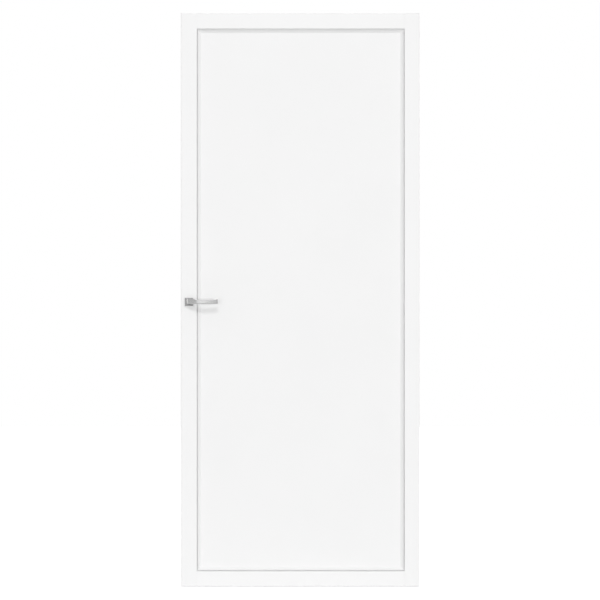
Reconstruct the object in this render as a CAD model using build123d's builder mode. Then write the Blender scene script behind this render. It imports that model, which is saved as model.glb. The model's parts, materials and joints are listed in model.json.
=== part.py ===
from build123d import *
import os

os.makedirs("parts", exist_ok=True)

# Panel door leaf with a lever handle, in millimetres.
# The hinge edge lies at x = 0 and the lock edge at x = -leaf_width.
# The front faces -Y, y = 0 is the middle of the thickness, and the bottom edge lies at z = 0.

# Leaf
leaf_width = 880.0
leaf_height = 2115.0
leaf_thickness = 40.0
lock_stile_width = 59.0
hinge_stile_width = 55.0
rail_width = 57.0
arris_radius = 2.5
joint_line_width = 1.5
joint_line_depth = 2.0

# Panel and the groove that holds it
panel_thickness = 16.0
groove_depth = 10.0
panel_clearance = 1.0

# Coved bead round the panel, front and back
bead_width = 15.0
bead_setback = 1.6
bead_nosing = 0.8
bead_crest = 0.8
cove_depth = 1.4
shadow_gap_width = 2.4
shadow_gap_depth = 9.4

# Hinge seats, cut into the hinge edge and open to the back
hinge_seat_height = 89.0
hinge_seat_width = 34.0
hinge_seat_depth = 3.0
hinge_seat_corner = 8.0
top_hinge_drop = 245.0
bottom_hinge_rise = 275.0
pilot_radius = 1.5
pilot_depth = 30.0
pilot_spacing_across = 16.0
pilot_spacing_along = 60.0

# Latch in the lock edge
handle_height = 1050.0
backset = 30.0
faceplate_height = 160.0
faceplate_width = 20.0
faceplate_thickness = 3.0
faceplate_screw_inset = 9.0
faceplate_screw_radius = 2.2
faceplate_sink_radius = 4.2
latch_case_height = 118.0
latch_case_thickness = 14.0
latch_case_depth = 40.0
mortise_clearance = 0.5
latch_bolt_height = 24.0
latch_bolt_thickness = 11.0
latch_bolt_depth = 14.0
latch_bolt_drop = 27.0
latch_bolt_clearance = 0.3

# Rose and its bearing bush
rose_side = 30.0
rose_thickness = 8.0
rose_corner = 1.2
rose_edge_chamfer = 0.7
bush_wall = 1.8
bush_clearance = 0.1
bush_recess = 0.5
running_clearance = 0.1

# Lever, measured from the spindle's axis and from the face of the stile
collar_radius = 7.5
collar_gap = 1.0
neck_rise = 5.0
neck_left = 9.0
neck_right = 11.0
lever_bottom = 8.0
lever_top = 14.0
lever_reach = 107.0
shoulder_reach = 21.0
shoulder_top = 9.5
shoulder_radius = 14.0
waist_reach = 58.0
waist_top = 6.0
tip_top = 10.5
tip_radius = 2.5
blade_standoff = 38.0
blade_thickness = 10.0
blade_bow = 4.5
elbow_inner_radius = 24.0
lever_edge_chamfer = 1.8

# Spindle
spindle_side = 8.0
spindle_grip = 18.0
spindle_hole_radius = 7.5

# Places worked out from the sizes
half_thickness = leaf_thickness / 2
recess_depth = (leaf_thickness - panel_thickness) / 2
opening_width = leaf_width - lock_stile_width - hinge_stile_width
opening_height = leaf_height - 2 * rail_width
opening_middle = (-hinge_stile_width - opening_width / 2, leaf_height / 2)
spindle_x = -leaf_width + backset
top_hinge_z = leaf_height - top_hinge_drop
middle_hinge_z = (bottom_hinge_rise + top_hinge_z) / 2
bush_radius = collar_radius + running_clearance + bush_wall
latch_bolt_z = handle_height + latch_case_height / 2 - latch_bolt_drop


def save(piece, name):
    """Label a finished piece and write its file."""
    piece.part.label = name
    export_step(piece.part, f"parts/{name}.step")


def stile_blank(outer_x, inward, stile_width):
    """Add a stile with eased outer edges and the panel groove along its inner edge."""
    with BuildSketch(Plane.XY) as section:
        with Locations((outer_x + inward * stile_width / 2, 0)):
            Rectangle(stile_width, leaf_thickness)
    extrude(section.sketch, amount=leaf_height)
    outer_edges = edges().filter_by(Axis.Z).sort_by(Axis.X, reverse=inward < 0)[:2]
    fillet(outer_edges + edges().filter_by(Axis.X), radius=arris_radius)
    with BuildSketch(Plane.XY) as groove:
        with Locations((outer_x + inward * (stile_width - groove_depth / 2), 0)):
            Rectangle(groove_depth, panel_thickness)
    extrude(groove.sketch, amount=leaf_height, mode=Mode.SUBTRACT)


def rail_blank(outer_z, inward):
    """Add a rail with its panel groove, and at each end a stub tenon and a fine joint line."""
    middle_z = outer_z + inward * rail_width / 2
    groove_z = outer_z + inward * (rail_width - groove_depth / 2)
    tenon_height = rail_width - groove_depth
    tenon_z = outer_z + inward * tenon_height / 2
    with BuildSketch(Plane.XZ.offset(-half_thickness)) as face:
        with Locations((opening_middle[0], middle_z)):
            Rectangle(opening_width, rail_width)
    extrude(face.sketch, amount=leaf_thickness)
    outer_edges = edges().filter_by(Axis.X).sort_by(Axis.Z, reverse=inward < 0)[:2]
    fillet(outer_edges, radius=arris_radius)
    with BuildSketch(Plane.XY) as joint_lines:
        with Locations((opening_middle[0], 0)):
            with GridLocations(opening_width - joint_line_width, leaf_thickness - joint_line_depth, 2, 2):
                Rectangle(joint_line_width, joint_line_depth)
    extrude(joint_lines.sketch, amount=leaf_height, mode=Mode.SUBTRACT)
    with BuildSketch(Plane.XZ.offset(-panel_thickness / 2)) as groove:
        with Locations((opening_middle[0], groove_z)):
            Rectangle(opening_width, groove_depth)
    extrude(groove.sketch, amount=panel_thickness, mode=Mode.SUBTRACT)
    with BuildSketch(Plane.XZ.offset(-panel_thickness / 2)) as tenons:
        with Locations((opening_middle[0], tenon_z)):
            Rectangle(opening_width + 2 * groove_depth, tenon_height)
    extrude(tenons.sketch, amount=panel_thickness)


# Hinge stile, with a seat and four pilot holes for each of three hinges
hinge_levels = [bottom_hinge_rise, middle_hinge_z, top_hinge_z]
seat_floor = Plane(origin=(-hinge_seat_depth, 0, 0), x_dir=(0, 1, 0), z_dir=(1, 0, 0))
seat_middle_y = half_thickness - hinge_seat_width / 2
with BuildPart() as hinge_stile:
    stile_blank(0, -1, hinge_stile_width)
    with BuildSketch(seat_floor):
        with Locations([(half_thickness, level) for level in hinge_levels]):
            RectangleRounded(2 * hinge_seat_width, hinge_seat_height, hinge_seat_corner)
    extrude(amount=hinge_seat_depth, mode=Mode.SUBTRACT)
    with Locations(seat_floor):
        with Locations([(seat_middle_y, level) for level in hinge_levels]):
            with GridLocations(pilot_spacing_across, pilot_spacing_along, 2, 2):
                Hole(radius=pilot_radius, depth=pilot_depth)
save(hinge_stile, "hinge_stile")

# Lock stile, with the latch mortise, the faceplate's recess and the spindle hole
lock_edge = Plane(origin=(-leaf_width, 0, 0), x_dir=(0, -1, 0), z_dir=(-1, 0, 0))
faceplate_back = lock_edge.offset(-faceplate_thickness)
spindle_plane = Plane(origin=(spindle_x, 0, handle_height), x_dir=(1, 0, 0), z_dir=(0, -1, 0))
stile_face = spindle_plane.offset(half_thickness)
with BuildPart() as lock_stile:
    stile_blank(-leaf_width, 1, lock_stile_width)
    with BuildSketch(faceplate_back):
        with Locations((0, handle_height)):
            Rectangle(faceplate_width, faceplate_height)
    extrude(amount=faceplate_thickness, mode=Mode.SUBTRACT)
    with BuildSketch(faceplate_back):
        with Locations((0, handle_height)):
            Rectangle(
                latch_case_thickness + 2 * mortise_clearance,
                latch_case_height + 2 * mortise_clearance,
            )
    extrude(amount=-(latch_case_depth + mortise_clearance), mode=Mode.SUBTRACT)
    with Locations(stile_face):
        Hole(radius=spindle_hole_radius)
save(lock_stile, "lock_stile")

with BuildPart() as top_rail:
    rail_blank(leaf_height, -1)
save(top_rail, "top_rail")

with BuildPart() as bottom_rail:
    rail_blank(0, 1)
save(bottom_rail, "bottom_rail")

# Flat panel, free to move in its groove
panel_lap = groove_depth - panel_clearance
with BuildPart() as panel:
    with BuildSketch(Plane.XZ.offset(-panel_thickness / 2)):
        with Locations(opening_middle):
            Rectangle(opening_width + 2 * panel_lap, opening_height + 2 * panel_lap)
    extrude(amount=panel_thickness)
save(panel, "panel")


def bead(corner_run, place):
    """Add one mitred bead: x of the place runs in from the frame, y out from the panel."""
    crest_height = recess_depth - bead_setback
    crest_start = (shadow_gap_width, crest_height)
    crest_end = (shadow_gap_width + bead_crest, crest_height)
    nosing_top = (bead_width, bead_nosing)
    gap_floor = crest_height - shadow_gap_depth
    with BuildSketch(place) as profile:
        with BuildLine():
            Polyline(crest_start, (shadow_gap_width, gap_floor), (0, gap_floor), (0, 0))
            Polyline((0, 0), (bead_width, 0), nosing_top)
            SagittaArc(nosing_top, crest_end, cove_depth)
            Line(crest_end, crest_start)
        make_face()
    extrude(profile.sketch, amount=corner_run / 2, both=True)
    for end in (-1, 1):
        corner = place.origin + place.z_dir * (end * corner_run / 2)
        mitre = Plane(origin=corner, z_dir=place.x_dir + place.z_dir * end)
        split(bisect_by=mitre, keep=Keep.BOTTOM)


# Beads, four on the front and four on the back
middle_x, middle_z = opening_middle
bead_sides = {
    "lock": (Vector(1, 0, 0), -opening_width / 2, opening_height),
    "hinge": (Vector(-1, 0, 0), -opening_width / 2, opening_height),
    "bottom": (Vector(0, 0, 1), -opening_height / 2, opening_width),
    "top": (Vector(0, 0, -1), -opening_height / 2, opening_width),
}
for face, outward in (("front", Vector(0, -1, 0)), ("back", Vector(0, 1, 0))):
    panel_face = Vector(middle_x, 0, middle_z) + outward * (panel_thickness / 2)
    for side, (inward, edge_distance, run) in bead_sides.items():
        place = Plane(
            origin=panel_face + inward * edge_distance,
            x_dir=inward,
            z_dir=inward.cross(outward),
        )
        with BuildPart() as panel_bead:
            bead(run, place)
        save(panel_bead, f"bead_{face}_{side}")

# Latch: faceplate in its recess, case behind it, and the bolt flush with the edge
with BuildPart() as latch_faceplate:
    with BuildSketch(faceplate_back):
        with Locations((0, handle_height)):
            Rectangle(faceplate_width, faceplate_height)
        with Locations((0, latch_bolt_z)):
            Rectangle(
                latch_bolt_thickness + 2 * latch_bolt_clearance,
                latch_bolt_height + 2 * latch_bolt_clearance,
                mode=Mode.SUBTRACT,
            )
    extrude(amount=faceplate_thickness)
    screw_offset = faceplate_height / 2 - faceplate_screw_inset
    with Locations(lock_edge):
        with Locations([(0, handle_height + side * screw_offset) for side in (-1, 1)]):
            CounterSinkHole(faceplate_screw_radius, faceplate_sink_radius)
save(latch_faceplate, "latch_faceplate")

with BuildPart() as latch_case:
    with BuildSketch(faceplate_back):
        with Locations((0, handle_height)):
            Rectangle(latch_case_thickness, latch_case_height)
    extrude(amount=-latch_case_depth)
    with BuildSketch(faceplate_back):
        with Locations((0, latch_bolt_z)):
            Rectangle(
                latch_bolt_thickness + 2 * latch_bolt_clearance,
                latch_bolt_height + 2 * latch_bolt_clearance,
            )
    extrude(amount=-latch_bolt_depth, mode=Mode.SUBTRACT)
    with Locations(spindle_plane.offset(latch_case_thickness / 2)):
        Hole(radius=spindle_hole_radius)
save(latch_case, "latch_case")

with BuildPart() as latch_bolt:
    with BuildSketch(faceplate_back.offset(-latch_bolt_depth)):
        with Locations((0, latch_bolt_z)):
            Rectangle(latch_bolt_thickness, latch_bolt_height)
    extrude(amount=latch_bolt_depth + faceplate_thickness)
save(latch_bolt, "latch_bolt")

# Square rose with its bearing bush, and the same on the back
with BuildPart() as rose_front:
    with BuildSketch(stile_face):
        RectangleRounded(rose_side, rose_side, rose_corner)
    extrude(amount=rose_thickness)
    chamfer(faces().sort_by(Axis.Y)[0].edges(), length=rose_edge_chamfer)
    with Locations(stile_face.offset(rose_thickness)):
        Hole(radius=bush_radius + bush_clearance, depth=rose_thickness)
save(rose_front, "rose_front")

with BuildPart() as bush_front:
    with BuildSketch(stile_face):
        Circle(bush_radius)
        Circle(collar_radius + running_clearance, mode=Mode.SUBTRACT)
    extrude(amount=rose_thickness - bush_recess)
save(bush_front, "bush_front")

with BuildPart() as rose_back:
    mirror(rose_front.part, about=Plane.XZ)
save(rose_back, "rose_back")

with BuildPart() as bush_back:
    mirror(bush_front.part, about=Plane.XZ)
save(bush_back, "bush_back")

# Lever: a swept elbow in plan, cut to its waisted outline seen from the front
neck_start = rose_thickness + neck_rise
blade_front = blade_standoff + blade_thickness
elbow_outer_radius = blade_front - blade_standoff + elbow_inner_radius
lever_height = lever_bottom + lever_top
plan_plane = Plane(
    origin=(spindle_x, -half_thickness, handle_height - lever_bottom),
    x_dir=(1, 0, 0),
    z_dir=(0, 0, -1),
)
with BuildPart() as lever_front:
    with BuildSketch(plan_plane):
        with BuildLine():
            root_left = (-neck_left, neck_start)
            root_right = (neck_right, neck_start)
            bend_left = (-neck_left, blade_front - elbow_outer_radius)
            bend_right = (neck_right, blade_standoff - elbow_inner_radius)
            back_front = (-neck_left + elbow_outer_radius, blade_front)
            back_rear = (neck_right + elbow_inner_radius, blade_standoff)
            tip_front = (lever_reach, blade_front - blade_bow)
            tip_rear = (lever_reach, blade_standoff - blade_bow / 2)
            Polyline(bend_left, root_left, root_right, bend_right)
            RadiusArc(bend_left, back_front, elbow_outer_radius)
            RadiusArc(bend_right, back_rear, elbow_inner_radius)
            TangentArc(back_front, tip_front, tangent=(1, 0))
            TangentArc(back_rear, tip_rear, tangent=(1, 0))
            Line(tip_front, tip_rear)
        make_face()
        fillet(vertices().sort_by(Axis.X)[-2:], radius=tip_radius)
    extrude(amount=-lever_height)
    with BuildSketch(stile_face):
        with BuildLine():
            shoulder = (shoulder_reach, shoulder_top)
            tip = (lever_reach, tip_top)
            Polyline(
                shoulder,
                (neck_right, lever_top),
                (-neck_left, lever_top),
                (-neck_left, -lever_bottom),
                (lever_reach, -lever_bottom),
                tip,
            )
            ThreePointArc(tip, (waist_reach, waist_top), shoulder)
        make_face()
        bends = vertices().group_by(Axis.X)[1:3]
        fillet(bends[0] + bends[1], radius=shoulder_radius)
    extrude(amount=2 * blade_front, mode=Mode.INTERSECT)
    root_edges = faces().sort_by(Axis.Y)[-1].edges()
    long_edges = edges().filter_by(lambda edge: edge not in root_edges)
    chamfer(long_edges, length=lever_edge_chamfer)
    with BuildSketch(stile_face.offset(collar_gap)):
        Circle(collar_radius)
    extrude(amount=neck_start - collar_gap)
    with BuildSketch(stile_face.offset(collar_gap)):
        Rectangle(spindle_side, spindle_side)
    extrude(amount=spindle_grip, mode=Mode.SUBTRACT)
save(lever_front, "lever_front")

with BuildPart() as lever_back:
    mirror(lever_front.part, about=Plane.XZ)
save(lever_back, "lever_back")

# Square spindle, held in both levers
spindle_half_length = half_thickness + collar_gap + spindle_grip
with BuildPart() as spindle:
    with BuildSketch(spindle_plane):
        Rectangle(spindle_side, spindle_side)
    extrude(amount=spindle_half_length, both=True)
save(spindle, "spindle")
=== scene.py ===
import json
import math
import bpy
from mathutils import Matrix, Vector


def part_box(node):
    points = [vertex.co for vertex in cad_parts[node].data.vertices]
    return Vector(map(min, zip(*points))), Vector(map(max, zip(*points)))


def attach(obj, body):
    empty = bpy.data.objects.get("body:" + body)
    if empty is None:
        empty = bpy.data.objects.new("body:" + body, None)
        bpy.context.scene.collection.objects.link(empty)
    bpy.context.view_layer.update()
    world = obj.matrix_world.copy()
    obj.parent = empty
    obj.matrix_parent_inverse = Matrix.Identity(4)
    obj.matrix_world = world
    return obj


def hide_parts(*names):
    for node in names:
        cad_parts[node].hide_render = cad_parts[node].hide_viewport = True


bl_info = {
    "name": "Panel door looks",
    "version": (1, 0, 0),
    "blender": (4, 5, 0),
    "location": "View3D > Sidebar > Door",
    "description": "Finishes a lacquered panel door leaf and its lever handles, and sets its stage",
    "category": "Object",
}

import bmesh
import bpy
from mathutils import Vector

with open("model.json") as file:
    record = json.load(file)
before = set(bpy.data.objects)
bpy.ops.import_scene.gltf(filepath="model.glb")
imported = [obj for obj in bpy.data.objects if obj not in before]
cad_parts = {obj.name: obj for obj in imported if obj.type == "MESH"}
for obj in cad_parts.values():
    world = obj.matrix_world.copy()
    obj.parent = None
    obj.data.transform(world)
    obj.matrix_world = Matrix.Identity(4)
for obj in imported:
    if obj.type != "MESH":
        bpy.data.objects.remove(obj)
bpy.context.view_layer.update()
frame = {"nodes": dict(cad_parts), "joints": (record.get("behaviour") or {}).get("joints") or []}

MM = 0.001
FACES = ("front", "back")
ALONG_X, ALONG_Y, ALONG_Z = range(3)

# Places that the frame gives
STILE_LOW, STILE_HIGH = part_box("lock_stile")
LEAF_CENTRE = Vector((STILE_LOW.x / 2, 0, (STILE_LOW.z + STILE_HIGH.z) / 2))
SPINDLE = Vector(frame["joints"][0]["pos_m"])
LEVER_LOW, LEVER_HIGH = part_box("lever_front")
PLATE_LOW, PLATE_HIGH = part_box("latch_faceplate")

# Points closer than these are one place, or one point; flatter edges than this look smooth
SAME_PLACE = 0.05 * MM
SAME_POINT = 0.001 * MM
SMOOTH_BELOW = math.radians(35)

# Shape of the lever between its settings
ELBOW_STEPS = 6
ELBOW_STEP = math.radians(15)
ELBOW_LEAD = 1.5 * MM
BLADE_SHARES = (0.25, 0.45, 0.65, 0.85, 1.0)
OUTER_CROWN, INNER_CROWN = 1.0, -0.5
SHARP_EDGE = math.radians(50)
SMOOTH_LEVELS = 2

# Turned and bored pieces of the handle and the latch, and the facets of every rounded edge
EASE_STEPS = 2
TURNED_SIDES = 64
GRUB_SIDES = 48
KEY_SIDES = 6
COLLAR_EASE = 0.4 * MM
COLLAR_EDGE = math.radians(30)
BORE_CLEARANCE = 0.15 * MM
BORE_DEPTH = 6 * MM
GRUB_DEPTH = 3 * MM
GRUB_RISE = 2.1 * MM
GRUB_EASE = 0.25 * MM
GRUB_EDGE = math.radians(60)
KEY_DEPTH = 4 * MM
HEAD_DEPTH = 1.9 * MM
HEAD_SINK = 0.1 * MM
HEAD_EASE = 0.15 * MM
HEAD_EDGE = math.radians(40)
CROSS_LENGTH = 4.2 * MM
CROSS_WIDTH = 0.9 * MM
CROSS_DEPTH = 2.6 * MM
CROSS_TAPER = 0.55

# Slow and fine changes in the finishes: lumps to the metre, shares of the colour, changes of roughness
NOISE_LOW, NOISE_HIGH = 0.3, 0.7
CLOUD_SCALE = 3.0
CLOUD_TONES = (0.992, 1.006)
SHEEN_SCALE = 25.0
SHEEN_CHANGES = (-0.04, 0.05)
LACQUER_SPECULAR = 0.4
PEEL_HEIGHT, PEEL_STRENGTH = 0.05 * MM, 0.5
GRAIN_HEIGHT, GRAIN_STRENGTH = 0.03 * MM, 0.4
GRAIN_STRETCH = 60
STROKE_TONES = (0.90, 1.06)
STROKE_CHANGES = (-0.06, 0.08)
STROKE_HEIGHT, STROKE_STRENGTH = 0.01 * MM, 0.35
STROKE_STRETCH = 150
SPECK_SCALE = 2500.0
SPECK_TONES = (0.9, 1.1)
SPECK_HEIGHT, SPECK_STRENGTH = 0.02 * MM, 0.4
PLASTIC_COLOUR = (0.05, 0.05, 0.055)
PLASTIC_ROUGHNESS = 0.5

# How much darker or lighter each piece is than its finish, and how much more matt; the beads and the roses
# are darker as painted shade
LEVEL_TONE = 1.005
PANEL_TONE = 0.99
# The beads are painted darker than the lacquer: painted shade of the recess round the panel
BEAD_PAINTED_SHADE = 0.97
# The roses' steel is painted darker as painted shade of the levers' shadow; ROSE_MATT only makes it rougher
ROSE_PAINTED_SHADE, ROSE_MATT = 0.78, 0.2
LATCH_TONE = 0.75
SCREW_TONE = 0.85
GRUB_TONE = 0.6

# Stage
FLOOR_SIDE = 30.0
LAMP_AWAY = 5.0
STRIP_AWAY = 10.0
STRIP_LIFT = 1.0
SENSOR_WIDTH = 36.0
FAR_CLIP = 100.0


# Settings


class LacquerSettings(bpy.types.PropertyGroup):
    """The white paint on the leaf."""

    colour: bpy.props.FloatVectorProperty(
        name="Colour",
        description="Colour of the lacquer",
        subtype="COLOR",
        size=3,
        min=0.0,
        max=1.0,
        default=(0.90, 0.90, 0.90),
    )
    roughness: bpy.props.FloatProperty(
        name="Roughness",
        description="How matt the lacquer is",
        min=0.0,
        max=1.0,
        default=0.42,
    )
    peel_size: bpy.props.FloatProperty(
        name="Peel size",
        description="Width of the ripples that the spray leaves",
        subtype="DISTANCE",
        default=3.5 * MM,
    )
    grain_size: bpy.props.FloatProperty(
        name="Grain width",
        description="Width of the faint strokes along each stile and rail",
        subtype="DISTANCE",
        default=2.5 * MM,
    )


class MetalSettings(bpy.types.PropertyGroup):
    """The brushed steel of the handle and the latch."""

    colour: bpy.props.FloatVectorProperty(
        name="Colour",
        description="Colour of the brushed steel",
        subtype="COLOR",
        size=3,
        min=0.0,
        max=1.0,
        default=(0.42, 0.42, 0.42),
    )
    roughness: bpy.props.FloatProperty(
        name="Roughness",
        description="How matt the brushed steel is",
        min=0.0,
        max=1.0,
        default=0.24,
    )
    stroke_size: bpy.props.FloatProperty(
        name="Stroke width",
        description="Width of the brush strokes",
        subtype="DISTANCE",
        default=0.15 * MM,
    )


class LeverSettings(bpy.types.PropertyGroup):
    """The two levers, measured from the spindle and from the face of the stile."""

    neck_start: bpy.props.FloatProperty(
        name="Neck start",
        description="From the face of the stile to the neck",
        subtype="DISTANCE",
        default=13 * MM,
    )
    neck_left: bpy.props.FloatProperty(
        name="Neck left",
        description="From the spindle to the outer side of the neck",
        subtype="DISTANCE",
        default=9 * MM,
    )
    neck_right: bpy.props.FloatProperty(
        name="Neck right",
        description="From the spindle to the inner side of the neck",
        subtype="DISTANCE",
        default=11 * MM,
    )
    outer_radius: bpy.props.FloatProperty(
        name="Outer elbow radius",
        description="Radius of the outside of the elbow, away from the stile",
        subtype="DISTANCE",
        default=34 * MM,
    )
    outer_reach: bpy.props.FloatProperty(
        name="Outer elbow reach",
        description="Radius of the outside of the elbow, along the blade",
        subtype="DISTANCE",
        default=41 * MM,
    )
    inner_radius: bpy.props.FloatProperty(
        name="Inner elbow radius",
        description="Radius of the inside of the elbow",
        subtype="DISTANCE",
        default=24 * MM,
    )
    blade_thickness: bpy.props.FloatProperty(
        name="Blade thickness",
        description="Thickness of the blade, seen from above",
        subtype="DISTANCE",
        default=10 * MM,
    )
    blade_bow: bpy.props.FloatProperty(
        name="Blade bow",
        description="How far the blade's front bends back to its tip",
        subtype="DISTANCE",
        default=4.5 * MM,
    )
    shoulder_reach: bpy.props.FloatProperty(
        name="Shoulder reach",
        description="From the spindle to the foot of the shoulder",
        subtype="DISTANCE",
        default=22 * MM,
    )
    shoulder_top: bpy.props.FloatProperty(
        name="Shoulder height",
        description="Height of the shoulder's foot above the spindle",
        subtype="DISTANCE",
        default=9.3 * MM,
    )
    waist_reach: bpy.props.FloatProperty(
        name="Waist reach",
        description="From the spindle to the narrowest part",
        subtype="DISTANCE",
        default=58 * MM,
    )
    waist_top: bpy.props.FloatProperty(
        name="Waist height",
        description="Height of the narrowest part above the spindle",
        subtype="DISTANCE",
        default=5.0 * MM,
    )
    tip_top: bpy.props.FloatProperty(
        name="Tip height",
        description="Height of the tip above the spindle",
        subtype="DISTANCE",
        default=10.5 * MM,
    )
    edge_round: bpy.props.FloatProperty(
        name="Edge rounding",
        description="Rounding of the long edges",
        subtype="DISTANCE",
        default=1.4 * MM,
    )
    crown: bpy.props.FloatProperty(
        name="Crown",
        description="How far the middle of the front and back stands out",
        subtype="DISTANCE",
        default=0.2 * MM,
    )
    collar_radius: bpy.props.FloatProperty(
        name="Collar radius",
        description="Radius of the collar that turns in the rose",
        subtype="DISTANCE",
        default=7.5 * MM,
    )


class ScrewSettings(bpy.types.PropertyGroup):
    """The small screws of the handle and the latch."""

    grub_radius: bpy.props.FloatProperty(
        name="Grub screw radius",
        description="Radius of the grub screw under each neck",
        subtype="DISTANCE",
        default=2.5 * MM,
    )
    grub_reach: bpy.props.FloatProperty(
        name="Grub screw reach",
        description="From the neck's start to the middle of the grub screw",
        subtype="DISTANCE",
        default=6 * MM,
    )
    grub_key: bpy.props.FloatProperty(
        name="Grub screw key",
        description="Radius of the hexagon key's socket, over its corners",
        subtype="DISTANCE",
        default=1.45 * MM,
    )
    plate_inset: bpy.props.FloatProperty(
        name="Plate screw inset",
        description="From the end of the latch's faceplate to its screw",
        subtype="DISTANCE",
        default=9 * MM,
    )
    plate_head: bpy.props.FloatProperty(
        name="Plate screw head",
        description="Radius of the countersunk heads in the faceplate",
        subtype="DISTANCE",
        default=4.0 * MM,
    )


class StageSettings(bpy.types.PropertyGroup):
    """The camera, the lights and the floor."""

    camera_distance: bpy.props.FloatProperty(
        name="Camera distance",
        description="From the camera to the front of the leaf",
        subtype="DISTANCE",
        default=12.0,
    )
    picture_width: bpy.props.FloatProperty(
        name="Picture width",
        description="Width that the picture takes in at the front of the leaf",
        subtype="DISTANCE",
        default=2.2135,
    )
    camera_aside: bpy.props.FloatProperty(
        name="Camera aside",
        description="How far the camera stands to the left of the leaf's middle",
        subtype="DISTANCE",
        default=0.6 * MM,
    )
    camera_drop: bpy.props.FloatProperty(
        name="Camera drop",
        description="How far the camera stands below the leaf's middle",
        subtype="DISTANCE",
        default=0.4 * MM,
    )
    floor_gap: bpy.props.FloatProperty(
        name="Floor gap",
        description="From the floor up to the leaf",
        subtype="DISTANCE",
        default=2 * MM,
    )
    key_height: bpy.props.FloatProperty(
        name="Key height",
        description="Angle of the main light above the horizon",
        subtype="ANGLE",
        default=math.radians(30),
    )
    key_turn: bpy.props.FloatProperty(
        name="Key turn",
        description="Angle of the main light to the left of the leaf's front",
        subtype="ANGLE",
        default=math.radians(-2),
    )
    key_strength: bpy.props.FloatProperty(
        name="Key strength",
        description="Strength of the main light",
        default=0.6,
    )
    key_spread: bpy.props.FloatProperty(
        name="Key spread",
        description="How wide the main light looks from the leaf",
        subtype="ANGLE",
        default=math.radians(10),
    )
    fill_height: bpy.props.FloatProperty(
        name="Fill height",
        description="Angle of the frontal and rear lights above the horizon",
        subtype="ANGLE",
        default=math.radians(-2),
    )
    fill_turn: bpy.props.FloatProperty(
        name="Fill turn",
        description="Angle of the frontal and rear lights to the left and right of square on",
        subtype="ANGLE",
        default=math.radians(16),
    )
    fill_balance: bpy.props.FloatProperty(
        name="Fill balance",
        description="Share of the frontal light that comes from the left",
        min=0.0,
        max=1.0,
        default=0.3,
    )
    fill_strength: bpy.props.FloatProperty(
        name="Fill strength",
        description="Strength of the two frontal lights together",
        default=1.15,
    )
    fill_spread: bpy.props.FloatProperty(
        name="Fill spread",
        description="How wide each frontal and rear light looks from the leaf",
        subtype="ANGLE",
        default=math.radians(13),
    )
    back_strength: bpy.props.FloatProperty(
        name="Back strength",
        description="Strength of the light on the back of the leaf",
        default=1.7,
    )
    room_light: bpy.props.FloatProperty(
        name="Room light",
        description="Strength of the even light from all round",
        default=0.56,
    )
    floor_colour: bpy.props.FloatVectorProperty(
        name="Floor colour",
        description="Colour of the floor",
        subtype="COLOR",
        size=3,
        min=0.0,
        max=1.0,
        default=(0.6, 0.6, 0.6),
    )
    floor_white: bpy.props.FloatProperty(
        name="Floor white",
        description="White that the camera sees on the floor beside its shadows",
        default=0.8,
    )
    strip_strength: bpy.props.FloatProperty(
        name="Strip strength",
        description="Brightness of the tall frontal strip that only reflections show",
        default=1.3,
    )
    strip_width: bpy.props.FloatProperty(
        name="Strip width",
        description="Width of each strip that only reflections show",
        subtype="DISTANCE",
        default=2.2,
    )
    strip_height: bpy.props.FloatProperty(
        name="Strip height",
        description="Height of each strip that only reflections show",
        subtype="DISTANCE",
        default=6.0,
    )
    top_strength: bpy.props.FloatProperty(
        name="Top strength",
        description="Brightness of the strip above the front that only reflections show",
        default=2.8,
    )
    top_height: bpy.props.FloatProperty(
        name="Top height",
        description="Angle of the strip above the front above the horizon",
        subtype="ANGLE",
        default=math.radians(55),
    )
    rim_strength: bpy.props.FloatProperty(
        name="Rim strength",
        description="Brightness of the strip behind the lock edge that only reflections show",
        default=2.0,
    )
    rim_turn: bpy.props.FloatProperty(
        name="Rim turn",
        description="Angle of the strip behind the lock edge to the left of the leaf's front",
        subtype="ANGLE",
        default=math.radians(135),
    )


# Work in object and edit mode


def start_clean():
    """Leave edit mode and deselect everything."""
    if bpy.context.object and bpy.context.object.mode != "OBJECT":
        bpy.ops.object.mode_set(mode="OBJECT")
    bpy.ops.object.select_all(action="DESELECT")


def named(name):
    """Name the object that was just added, and return it."""
    piece = bpy.context.object
    piece.name = name
    piece.data.name = name
    return piece


def only(piece):
    """Select one piece alone and make it active."""
    start_clean()
    piece.select_set(True)
    bpy.context.view_layer.objects.active = piece


def edit(piece):
    """Enter edit mode on one piece with nothing selected."""
    only(piece)
    bpy.ops.object.mode_set(mode="EDIT")
    bpy.ops.mesh.select_mode(type="VERT")
    bpy.ops.mesh.select_all(action="DESELECT")


def pick_points(piece, wanted):
    """Select in edit mode the points that a test of their place accepts."""
    mesh = bmesh.from_edit_mesh(piece.data)
    for point in mesh.verts:
        point.select_set(wanted(point.co))
    mesh.select_flush_mode()
    bmesh.update_edit_mesh(piece.data)


def pick_edges(piece, wanted):
    """Select in edit mode the edges that a test accepts."""
    bpy.ops.mesh.select_mode(type="EDGE")
    mesh = bmesh.from_edit_mesh(piece.data)
    for edge in mesh.edges:
        edge.select_set(wanted(edge))
    bmesh.update_edit_mesh(piece.data)


def near(place):
    """Return a test that accepts points at a place."""
    return lambda point: (point - place).length < SAME_PLACE


def applied(piece, kind, **values):
    """Add a modifier to a piece, set it and apply it."""
    only(piece)
    modifier = piece.modifiers.new(kind.title(), kind)
    for key, value in values.items():
        setattr(modifier, key, value)
    bpy.ops.object.modifier_apply(modifier=modifier.name)


def eased(piece, width, angle):
    """Round off the edges of a piece that are sharper than an angle."""
    applied(piece, "BEVEL", width=width, segments=EASE_STEPS, limit_method="ANGLE", angle_limit=angle)


def cut(piece, cutter):
    """Cut one closed piece out of another, and remove the cutter."""
    applied(piece, "BOOLEAN", object=cutter, operation="DIFFERENCE", solver="EXACT")
    bpy.data.objects.remove(cutter)


def copied(piece, name):
    """Copy a piece with a mesh of its own, and leave the copy selected."""
    only(piece)
    bpy.ops.object.duplicate(linked=False)
    return named(name)


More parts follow.
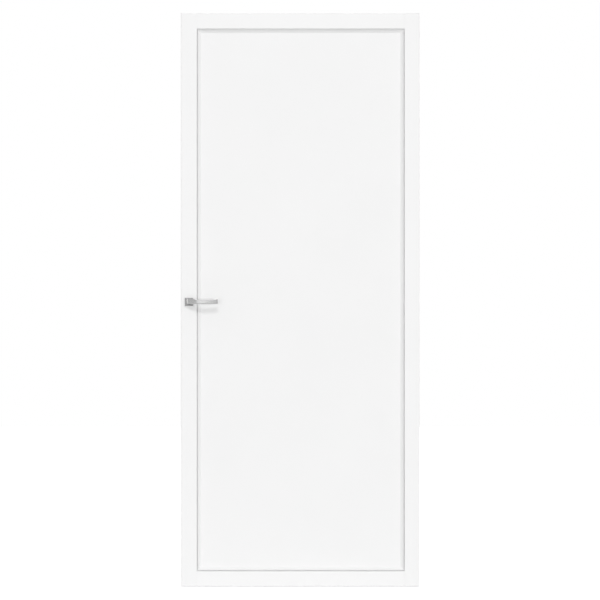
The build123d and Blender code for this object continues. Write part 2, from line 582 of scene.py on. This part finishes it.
def mirrored(piece, name):
    """Copy a front piece to the back of the leaf."""
    back = copied(piece, name)
    bpy.ops.transform.resize(value=(1, -1, 1), center_override=(0, 0, 0))
    return back


def settled(piece, body, material):
    """Apply a piece's place, close it, smooth it, give it its material and let it ride."""
    only(piece)
    bpy.ops.object.transform_apply(location=True, rotation=True, scale=True)
    bpy.ops.object.mode_set(mode="EDIT")
    bpy.ops.mesh.select_all(action="SELECT")
    bpy.ops.mesh.remove_doubles(threshold=SAME_POINT)
    bpy.ops.mesh.normals_make_consistent(inside=False)
    bpy.ops.object.mode_set(mode="OBJECT")
    bpy.ops.object.shade_smooth_by_angle(angle=SMOOTH_BELOW)
    piece.data.materials.clear()
    piece.data.materials.append(material)
    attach(piece, body)


# Materials


def new_material(name):
    """Make an empty node material and return it with its tree and its shader."""
    material = bpy.data.materials.new(name)
    material.use_nodes = True
    tree = material.node_tree
    tree.nodes.clear()
    output = tree.nodes.new("ShaderNodeOutputMaterial")
    shader = tree.nodes.new("ShaderNodeBsdfPrincipled")
    tree.links.new(shader.outputs["BSDF"], output.inputs["Surface"])
    return material, tree, shader


def even(scale):
    """Return one scale for all three axes."""
    return (scale, scale, scale)


def drawn_out(width, axis, stretch):
    """Return the scale of strokes of one width, drawn out along one axis."""
    scale = [1.0 / width] * 3
    scale[axis] /= stretch
    return scale


def noise_pattern(tree, scale, detail=2.0):
    """Add a noise whose lumps are 1 / scale across on each axis, and return its value."""
    place = tree.nodes.new("ShaderNodeTexCoord")
    mapping = tree.nodes.new("ShaderNodeMapping")
    mapping.inputs["Scale"].default_value = scale
    noise = tree.nodes.new("ShaderNodeTexNoise")
    noise.inputs["Scale"].default_value = 1.0
    noise.inputs["Detail"].default_value = detail
    tree.links.new(place.outputs["Object"], mapping.inputs["Vector"])
    tree.links.new(mapping.outputs["Vector"], noise.inputs["Vector"])
    return noise.outputs["Fac"]


def spread(tree, value, low, high):
    """Spread the middle of a noise over a range."""
    node = tree.nodes.new("ShaderNodeMapRange")
    node.inputs["From Min"].default_value = NOISE_LOW
    node.inputs["From Max"].default_value = NOISE_HIGH
    node.inputs["To Min"].default_value = low
    node.inputs["To Max"].default_value = high
    tree.links.new(value, node.inputs["Value"])
    return node.outputs["Result"]


def tinted(tree, value, dark, light):
    """Blend between two colours by a value from 0 to 1."""
    ramp = tree.nodes.new("ShaderNodeValToRGB")
    ramp.color_ramp.elements[0].color = (*dark, 1.0)
    ramp.color_ramp.elements[1].color = (*light, 1.0)
    tree.links.new(value, ramp.inputs["Fac"])
    return ramp.outputs["Color"]


def bumped(tree, value, height, strength, below=None):
    """Turn a value into a bump of the given height, over another bump where one is given."""
    bump = tree.nodes.new("ShaderNodeBump")
    bump.inputs["Distance"].default_value = height
    bump.inputs["Strength"].default_value = strength
    tree.links.new(value, bump.inputs["Height"])
    if below is not None:
        tree.links.new(below, bump.inputs["Normal"])
    return bump.outputs["Normal"]


def scaled(colour, factor):
    """Return a colour made darker or lighter by a factor."""
    return tuple(min(1.0, part * factor) for part in colour)


def give(nodes, material):
    """Put a material on the named CAD nodes."""
    for name in nodes:
        mesh = frame["nodes"][name].data
        mesh.materials.clear()
        mesh.materials.append(material)


def lacquer(name, settings, tone=1.0, grain_axis=None):
    """Make white lacquer with a fine peel, and faint strokes along one axis where one is named."""
    material, tree, shader = new_material(name)
    colour = scaled(settings.colour, tone)
    dark, light = (scaled(colour, share) for share in CLOUD_TONES)
    cloud = spread(tree, noise_pattern(tree, even(CLOUD_SCALE)), 0.0, 1.0)
    tree.links.new(tinted(tree, cloud, dark, light), shader.inputs["Base Color"])
    low, high = (settings.roughness + change for change in SHEEN_CHANGES)
    sheen = noise_pattern(tree, even(SHEEN_SCALE), detail=3.0)
    tree.links.new(spread(tree, sheen, low, high), shader.inputs["Roughness"])
    shader.inputs["Specular IOR Level"].default_value = LACQUER_SPECULAR
    peel = noise_pattern(tree, even(1.0 / settings.peel_size), detail=1.0)
    normal = bumped(tree, peel, PEEL_HEIGHT, PEEL_STRENGTH)
    if grain_axis is not None:
        grain = noise_pattern(tree, drawn_out(settings.grain_size, grain_axis, GRAIN_STRETCH))
        normal = bumped(tree, grain, GRAIN_HEIGHT, GRAIN_STRENGTH, normal)
    tree.links.new(normal, shader.inputs["Normal"])
    return material


def brushed_metal(name, settings, stroke_axis, tone=1.0, matt=0.0):
    """Make steel with fine strokes along one axis, darker by its tone and rougher where it is matt."""
    material, tree, shader = new_material(name)
    strokes = noise_pattern(tree, drawn_out(settings.stroke_size, stroke_axis, STROKE_STRETCH), detail=3.0)
    dark, light = (scaled(settings.colour, share * tone) for share in STROKE_TONES)
    colour = tinted(tree, spread(tree, strokes, 0.0, 1.0), dark, light)
    tree.links.new(colour, shader.inputs["Base Color"])
    low, high = (settings.roughness + matt + change for change in STROKE_CHANGES)
    tree.links.new(spread(tree, strokes, low, high), shader.inputs["Roughness"])
    shader.inputs["Metallic"].default_value = 1.0
    tree.links.new(bumped(tree, strokes, STROKE_HEIGHT, STROKE_STRENGTH), shader.inputs["Normal"])
    return material


def moulded_plastic(name, colour):
    """Make dark moulded plastic with a fine spark texture."""
    material, tree, shader = new_material(name)
    speck = noise_pattern(tree, even(SPECK_SCALE))
    dark, light = (scaled(colour, share) for share in SPECK_TONES)
    shade = tinted(tree, spread(tree, speck, 0.0, 1.0), dark, light)
    tree.links.new(shade, shader.inputs["Base Color"])
    shader.inputs["Roughness"].default_value = PLASTIC_ROUGHNESS
    tree.links.new(bumped(tree, speck, SPECK_HEIGHT, SPECK_STRENGTH), shader.inputs["Normal"])
    return material


# Shapes of the lever


def lever_plan(settings):
    """List pairs of outer and inner points along the lever, from the spindle and the stile's face."""
    start = settings.neck_start
    depth = SPINDLE.y - LEVER_LOW.y - STILE_HIGH.y - settings.crown
    reach = LEVER_HIGH.x - SPINDLE.x
    bend = depth - settings.outer_radius
    outer_middle = settings.outer_reach - settings.neck_left
    inner_middle = settings.inner_radius + settings.neck_right
    pairs = [((-settings.neck_left, start), (settings.neck_right, start))]
    for step in range(ELBOW_STEPS + 1):
        turn = ELBOW_STEP * step
        level = bend + (ELBOW_LEAD if step == 0 else 0)
        outer_x = outer_middle - settings.outer_reach * math.cos(turn)
        inner_x = inner_middle - settings.inner_radius * math.cos(turn)
        outer_y = level + settings.outer_radius * math.sin(turn)
        inner_y = level + settings.inner_radius * math.sin(turn)
        pairs.append(((outer_x, outer_y), (inner_x, inner_y)))
    for share in BLADE_SHARES:
        outer_x = outer_middle + (reach - outer_middle) * share
        inner_x = inner_middle + (reach - inner_middle) * share
        bow = settings.blade_bow * share ** 2
        pairs.append(((outer_x, depth - bow), (inner_x, depth - settings.blade_thickness - bow / 2)))
    return pairs


def lever_top_at(x, settings):
    """Return the height of the lever's top above the spindle at a distance from it."""
    reach = LEVER_HIGH.x - SPINDLE.x
    top = LEVER_HIGH.z - SPINDLE.z
    if x <= settings.neck_left:
        return top
    if x < settings.shoulder_reach:
        share = (x - settings.neck_left) / (settings.shoulder_reach - settings.neck_left)
        return top + (settings.shoulder_top - top) * share ** 2 * (3 - 2 * share)
    if x < settings.waist_reach:
        share = (settings.waist_reach - x) / (settings.waist_reach - settings.shoulder_reach)
        return settings.waist_top + (settings.shoulder_top - settings.waist_top) * share ** 2
    share = (x - settings.waist_reach) / (reach - settings.waist_reach)
    return settings.waist_top + (settings.tip_top - settings.waist_top) * share ** 2


def placed(point, level):
    """Turn a point of the plan into a place on the front."""
    return Vector((SPINDLE.x + point[0], -STILE_HIGH.y - point[1], level))


def model_lever(name, settings):
    """Model the front lever: draw its plan edge by edge, raise it to its waisted top, and round it."""
    pairs = lever_plan(settings)
    floor = LEVER_LOW.z
    corner = placed(pairs[0][0], floor)
    beside = placed(pairs[0][1], floor)
    ahead = placed(pairs[1][0], floor)
    start_clean()
    bpy.ops.mesh.primitive_plane_add(size=1, location=(beside + ahead) / 2)
    piece = named(name)
    bpy.ops.transform.resize(value=(beside.x - corner.x, corner.y - ahead.y, 1))
    bpy.ops.object.transform_apply(location=True, rotation=True, scale=True)
    draw_plan(piece, pairs, floor)
    raise_plan(piece, pairs, settings, floor)
    round_edges(piece, settings)
    applied(piece, "SUBSURF", levels=SMOOTH_LEVELS, render_levels=SMOOTH_LEVELS)
    return piece


def draw_plan(piece, pairs, floor):
    """Extrude the end edge of the plan from station to station."""
    edit(piece)
    for before, after in zip(pairs[1:], pairs[2:]):
        old = [placed(point, floor) for point in before]
        new = [placed(point, floor) for point in after]
        pick_points(piece, lambda point: any(near(place)(point) for place in old))
        bpy.ops.mesh.extrude_region_move(TRANSFORM_OT_translate={"value": new[0] - old[0]})
        drifted = old[1] + new[0] - old[0]
        pick_points(piece, near(drifted))
        bpy.ops.transform.translate(value=new[1] - drifted)


def raise_plan(piece, pairs, settings, floor):
    """Raise the plan to the spindle's level and on to the lever's waisted top, and crown its faces."""
    top = LEVER_HIGH.z
    bpy.ops.mesh.select_all(action="SELECT")
    bpy.ops.mesh.extrude_region_move(TRANSFORM_OT_translate={"value": (0, 0, SPINDLE.z - floor)})
    bpy.ops.mesh.extrude_region_move(TRANSFORM_OT_translate={"value": (0, 0, top - SPINDLE.z)})
    for pair in pairs:
        outwards = (placed(pair[0], 0) - placed(pair[1], 0)).normalized()
        for point, push in zip(pair, (OUTER_CROWN, INNER_CROWN)):
            pick_points(piece, near(placed(point, top)))
            height = SPINDLE.z + lever_top_at(point[0], settings)
            bpy.ops.transform.translate(value=(0, 0, height - top))
            if pair is not pairs[0]:
                pick_points(piece, near(placed(point, SPINDLE.z)))
                bpy.ops.transform.translate(value=outwards * settings.crown * push)


def round_edges(piece, settings):
    """Bevel the long edges and the tip, and keep the root's edges sharp."""
    root = -STILE_HIGH.y - settings.neck_start
    bpy.ops.mesh.select_all(action="SELECT")
    bpy.ops.mesh.normals_make_consistent(inside=False)

    def at_root(edge):
        return all(abs(point.co.y - root) < SAME_PLACE for point in edge.verts)

    pick_edges(piece, lambda edge: edge.calc_face_angle(0) > SHARP_EDGE and not at_root(edge))
    bpy.ops.mesh.bevel(offset=settings.edge_round, segments=EASE_STEPS, affect="EDGES")
    pick_edges(piece, at_root)
    bpy.ops.transform.edge_crease(value=1)
    bpy.ops.object.mode_set(mode="OBJECT")


def add_collar(piece, settings):
    """Join the turned collar, eased at its edge, to the root of the front lever."""
    near_end = LEVER_HIGH.y
    far_end = -STILE_HIGH.y - settings.neck_start
    start_clean()
    bpy.ops.mesh.primitive_cylinder_add(
        vertices=TURNED_SIDES,
        radius=settings.collar_radius,
        depth=near_end - far_end,
        location=(SPINDLE.x, (near_end + far_end) / 2, SPINDLE.z),
        rotation=(math.radians(90), 0, 0),
    )
    collar = named("collar")
    bpy.ops.object.transform_apply(location=True, rotation=True, scale=True)
    eased(collar, COLLAR_EASE, COLLAR_EDGE)
    start_clean()
    collar.select_set(True)
    piece.select_set(True)
    bpy.context.view_layer.objects.active = piece
    bpy.ops.object.join()


def add_grub_screw(lever, name, screws, settings):
    """Bore the neck from below and set a grub screw with a hexagon socket in it."""
    place = placed((0, settings.neck_start + screws.grub_reach), LEVER_LOW.z)
    bore = add_pin("bore", GRUB_SIDES, screws.grub_radius + BORE_CLEARANCE, BORE_DEPTH, place)
    cut(lever, bore)
    middle = place + Vector((0, 0, GRUB_RISE))
    screw = add_pin(name, GRUB_SIDES, screws.grub_radius, GRUB_DEPTH, middle)
    bpy.ops.object.transform_apply(location=True, rotation=True, scale=True)
    eased(screw, GRUB_EASE, GRUB_EDGE)
    cut(screw, add_pin("key", KEY_SIDES, screws.grub_key, KEY_DEPTH, place))
    return screw


def add_pin(name, sides, radius, depth, middle):
    """Add one upright round or six-sided pin."""
    start_clean()
    bpy.ops.mesh.primitive_cylinder_add(vertices=sides, radius=radius, depth=depth, location=middle)
    return named(name)


def add_plate_screw(name, level, screws):
    """Model one countersunk screw flush with the faceplate, with its head to the left."""
    face = PLATE_LOW.x + HEAD_SINK
    start_clean()
    bpy.ops.mesh.primitive_cone_add(
        vertices=TURNED_SIDES,
        radius1=screws.plate_head,
        radius2=screws.plate_head - HEAD_DEPTH,
        depth=HEAD_DEPTH,
        location=(face + HEAD_DEPTH / 2, 0, level),
        rotation=(0, math.radians(90), 0),
    )
    piece = named(name)
    bpy.ops.object.transform_apply(location=True, rotation=True, scale=True)
    eased(piece, HEAD_EASE, HEAD_EDGE)
    for across, up in ((CROSS_LENGTH, CROSS_WIDTH), (CROSS_WIDTH, CROSS_LENGTH)):
        start_clean()
        bpy.ops.mesh.primitive_cube_add(size=1, location=(face, 0, level), scale=(CROSS_DEPTH, across, up))
        slot = named("slot")
        bpy.ops.object.transform_apply(location=True, rotation=True, scale=True)
        edit(slot)
        pick_points(slot, lambda point: point.x > face)
        bpy.ops.transform.resize(value=(1, CROSS_TAPER, CROSS_TAPER), center_override=(face, 0, level))
        bpy.ops.object.mode_set(mode="OBJECT")
        cut(piece, slot)
    return piece


# Stage


def camera_white(tree):
    """Return a value of 1 for rays from the camera, reflections and glass, and 0 for the rest."""
    path = tree.nodes.new("ShaderNodeLightPath")
    total = path.outputs["Is Camera Ray"]
    for name in ("Is Glossy Ray", "Is Transmission Ray"):
        either = tree.nodes.new("ShaderNodeMath")
        either.operation = "MAXIMUM"
        tree.links.new(total, either.inputs[0])
        tree.links.new(path.outputs[name], either.inputs[1])
        total = either.outputs[0]
    return total


def add_floor(settings):
    """Add a wide pale floor that looks white but keeps the shadow of the leaf."""
    start_clean()
    middle = (LEAF_CENTRE.x, 0, STILE_LOW.z - settings.floor_gap)
    bpy.ops.mesh.primitive_plane_add(size=FLOOR_SIDE, location=middle)
    floor = named("floor")
    bpy.ops.object.transform_apply(location=True, rotation=True, scale=True)
    material = bpy.data.materials.new("floor_white")
    material.use_nodes = True
    tree = material.node_tree
    tree.nodes.clear()
    output = tree.nodes.new("ShaderNodeOutputMaterial")
    paint = tree.nodes.new("ShaderNodeBsdfDiffuse")
    paint.inputs["Color"].default_value = (*settings.floor_colour, 1.0)
    glow = tree.nodes.new("ShaderNodeEmission")
    strength = tree.nodes.new("ShaderNodeMath")
    strength.operation = "MULTIPLY"
    strength.inputs[1].default_value = settings.floor_white
    tree.links.new(camera_white(tree), strength.inputs[0])
    tree.links.new(strength.outputs[0], glow.inputs["Strength"])
    both = tree.nodes.new("ShaderNodeAddShader")
    tree.links.new(paint.outputs[0], both.inputs[0])
    tree.links.new(glow.outputs[0], both.inputs[1])
    tree.links.new(both.outputs[0], output.inputs["Surface"])
    floor.data.materials.append(material)
    floor.visible_shadow = False


def add_surroundings(scene, settings):
    """Make all round white to the camera, with an even softer light on the leaf."""
    world = bpy.data.worlds.new("surroundings")
    scene.world = world
    world.use_nodes = True
    tree = world.node_tree
    tree.nodes.clear()
    output = tree.nodes.new("ShaderNodeOutputWorld")
    light = tree.nodes.new("ShaderNodeBackground")
    light.inputs["Color"].default_value = (1.0, 1.0, 1.0, 1.0)
    strength = tree.nodes.new("ShaderNodeMapRange")
    strength.inputs["To Min"].default_value = settings.room_light
    strength.inputs["To Max"].default_value = 1.0
    tree.links.new(camera_white(tree), strength.inputs["Value"])
    tree.links.new(strength.outputs[0], light.inputs["Strength"])
    tree.links.new(light.outputs[0], output.inputs["Surface"])


def direction(turn, rise):
    """Return the way to a light from the leaf, by its turn to the left of the front and its height."""
    return Vector((-math.sin(turn) * math.cos(rise), -math.cos(turn) * math.cos(rise), math.sin(rise)))


def add_light(name, away, strength, width):
    """Add one soft light that shines on the leaf from far off, and that reflections don't show."""
    start_clean()
    bpy.ops.object.light_add(type="SUN", location=LEAF_CENTRE + away * LAMP_AWAY)
    lamp = bpy.context.object
    lamp.name = name
    lamp.data.energy = strength
    lamp.data.angle = width
    lamp.rotation_mode = "QUATERNION"
    lamp.rotation_quaternion = away.to_track_quat("Z", "Y")
    lamp.visible_glossy = False


def add_strip(name, offset, strength, settings):
    """Add a tall bright strip that faces the handle, which only gloss and metal show."""
    start_clean()
    bpy.ops.object.light_add(type="AREA", location=SPINDLE + offset)
    strip = bpy.context.object
    strip.name = name
    strip.data.shape = "RECTANGLE"
    strip.data.size = settings.strip_width
    strip.data.size_y = settings.strip_height
    strip.data.energy = strength * settings.strip_width * settings.strip_height * math.pi
    strip.rotation_mode = "QUATERNION"
    strip.rotation_quaternion = offset.to_track_quat("Z", "Y")
    strip.visible_camera = False
    strip.visible_diffuse = False


def add_camera(scene, settings):
    """Set up a long lens, square to the front of the leaf."""
    offset = Vector((-settings.camera_aside, STILE_LOW.y - settings.camera_distance, -settings.camera_drop))
    start_clean()
    bpy.ops.object.camera_add(location=LEAF_CENTRE + offset, rotation=(math.radians(90), 0, 0))
    camera = bpy.context.object
    camera.data.sensor_width = SENSOR_WIDTH
    camera.data.lens = SENSOR_WIDTH * settings.camera_distance / settings.picture_width
    camera.data.clip_end = FAR_CLIP
    scene.camera = camera
    scene.view_settings.view_transform = "Standard"


# Operators


class DOOR_OT_stage(bpy.types.Operator):
    """Make the floor, the lights, the white surroundings and the camera"""

    bl_idname = "door.stage"
    bl_label = "Set the stage"

    def execute(self, context):
        settings = context.scene.door_stage
        add_floor(settings)
        add_surroundings(context.scene, settings)
        key_from = direction(settings.key_turn, settings.key_height)
        add_light("key_light", key_from, settings.key_strength, settings.key_spread)
        for name, turn, strength in (
            ("fill_left", settings.fill_turn, settings.fill_strength * settings.fill_balance),
            ("fill_right", -settings.fill_turn, settings.fill_strength * (1 - settings.fill_balance)),
            ("back_left", math.pi - settings.fill_turn, settings.back_strength / 2),
            ("back_right", math.pi + settings.fill_turn, settings.back_strength / 2),
        ):
            add_light(name, direction(turn, settings.fill_height), strength, settings.fill_spread)
        for name, offset, strength in (
            ("strip_front", Vector((0, -STRIP_AWAY, STRIP_LIFT)), settings.strip_strength),
            ("strip_top", direction(0, settings.top_height) * STRIP_AWAY, settings.top_strength),
            ("strip_rim", direction(settings.rim_turn, 0) * STRIP_AWAY, settings.rim_strength),
        ):
            add_strip(name, offset, strength, settings)
        add_camera(context.scene, settings)
        return {"FINISHED"}


class DOOR_OT_lacquer(bpy.types.Operator):
    """Paint the stiles, the rails, the panel and the beads with white lacquer"""

    bl_idname = "door.lacquer"
    bl_label = "Lacquer the leaf"

    def execute(self, context):
        settings = context.scene.door_lacquer
        upright = lacquer("lacquer_upright", settings, grain_axis=ALONG_Z)
        level = lacquer("lacquer_level", settings, LEVEL_TONE, ALONG_X)
        give(["lock_stile", "hinge_stile"], upright)
        give(["top_rail", "bottom_rail"], level)
        give(["panel"], lacquer("lacquer_panel", settings, PANEL_TONE))
        # The bead lacquers are darkened as painted shade of the recess round the panel
        upright_bead_shade = lacquer("lacquer_bead_upright_painted_shade", settings, BEAD_PAINTED_SHADE, ALONG_Z)
        level_bead_shade = lacquer("lacquer_bead_level_painted_shade", settings, BEAD_PAINTED_SHADE, ALONG_X)
        for face in FACES:
            give([f"bead_{face}_{side}" for side in ("lock", "hinge")], upright_bead_shade)
            give([f"bead_{face}_{side}" for side in ("top", "bottom")], level_bead_shade)
        return {"FINISHED"}


class DOOR_OT_metal(bpy.types.Operator):
    """Give the roses and the latch their brushed steel and plastic"""

    bl_idname = "door.metal"
    bl_label = "Finish the roses and the latch"

    def execute(self, context):
        settings = context.scene.door_metal
        # The rose steel is darkened as painted shade of the levers' shadow, and made rougher
        rose = brushed_metal("steel_rose_painted_shade", settings, ALONG_Z, ROSE_PAINTED_SHADE, ROSE_MATT)
        dark_steel = brushed_metal("steel_latch", settings, ALONG_Y, LATCH_TONE)
        plastic = moulded_plastic("plastic_bearing", PLASTIC_COLOUR)
        give(["rose_front", "rose_back", "latch_faceplate"], rose)
        give(["latch_case", "spindle"], dark_steel)
        give(["bush_front", "bush_back", "latch_bolt"], plastic)
        return {"FINISHED"}


class DOOR_OT_levers(bpy.types.Operator):
    """Model the front lever with rounded edges and a crowned grip, and its grub screw, and mirror both"""

    bl_idname = "door.levers"
    bl_label = "Model the levers"

    def execute(self, context):
        settings = context.scene.door_lever
        screws = context.scene.door_screws
        steel = brushed_metal("steel_lever", context.scene.door_metal, ALONG_X)
        dark_steel = brushed_metal("steel_grub", context.scene.door_metal, ALONG_Z, GRUB_TONE)
        lever = model_lever("grip_front", settings)
        add_collar(lever, settings)
        screw = add_grub_screw(lever, "grub_screw_front", screws, settings)
        levers = {"lever_front": lever, "lever_back": mirrored(lever, "grip_back")}
        for piece in (screw, mirrored(screw, "grub_screw_back")):
            settled(piece, "handle", dark_steel)
        for node, piece in levers.items():
            settled(piece, "handle", steel)
            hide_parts(node)
        return {"FINISHED"}


class DOOR_OT_plate_screws(bpy.types.Operator):
    """Set two countersunk screws with crossed slots in the latch's faceplate"""

    bl_idname = "door.plate_screws"
    bl_label = "Fit the faceplate screws"

    def execute(self, context):
        screws = context.scene.door_screws
        steel = brushed_metal("steel_screw", context.scene.door_metal, ALONG_Y, SCREW_TONE)
        lower = add_plate_screw("plate_screw_lower", PLATE_LOW.z + screws.plate_inset, screws)
        upper = copied(lower, "plate_screw_upper")
        bpy.ops.transform.translate(value=(0, 0, PLATE_HIGH.z - PLATE_LOW.z - 2 * screws.plate_inset))
        for piece in (lower, upper):
            settled(piece, "leaf", steel)
        return {"FINISHED"}


# Panel and registration


class DOOR_PT_looks(bpy.types.Panel):
    """Lists the steps in the sidebar"""

    bl_idname = "DOOR_PT_looks"
    bl_label = "Door"
    bl_space_type = "VIEW_3D"
    bl_region_type = "UI"
    bl_category = "Door"

    def draw(self, context):
        for group, step in STEPS:
            box = self.layout.box()
            settings = getattr(context.scene, group)
            for field in settings.__annotations__:
                box.prop(settings, field)
            box.operator(step)


STEPS = (
    ("door_stage", "door.stage"),
    ("door_lacquer", "door.lacquer"),
    ("door_metal", "door.metal"),
    ("door_lever", "door.levers"),
    ("door_screws", "door.plate_screws"),
)
GROUPS = {
    "door_lacquer": LacquerSettings,
    "door_metal": MetalSettings,
    "door_lever": LeverSettings,
    "door_screws": ScrewSettings,
    "door_stage": StageSettings,
}
CLASSES = (
    LacquerSettings,
    MetalSettings,
    LeverSettings,
    ScrewSettings,
    StageSettings,
    DOOR_OT_stage,
    DOOR_OT_lacquer,
    DOOR_OT_metal,
    DOOR_OT_levers,
    DOOR_OT_plate_screws,
    DOOR_PT_looks,
)


def register():
    """Register the classes and hang the settings on the scene."""
    for each in CLASSES:
        bpy.utils.register_class(each)
    for name, group in GROUPS.items():
        setattr(bpy.types.Scene, name, bpy.props.PointerProperty(type=group))


def unregister():
    """Take the settings off the scene and unregister the classes."""
    for name in GROUPS:
        delattr(bpy.types.Scene, name)
    for each in reversed(CLASSES):
        bpy.utils.unregister_class(each)


def main():
    """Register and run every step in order."""
    register()
    bpy.ops.door.stage()
    bpy.ops.door.lacquer()
    bpy.ops.door.metal()
    bpy.ops.door.levers()
    bpy.ops.door.plate_screws()


if __name__ == "__main__":
    main()
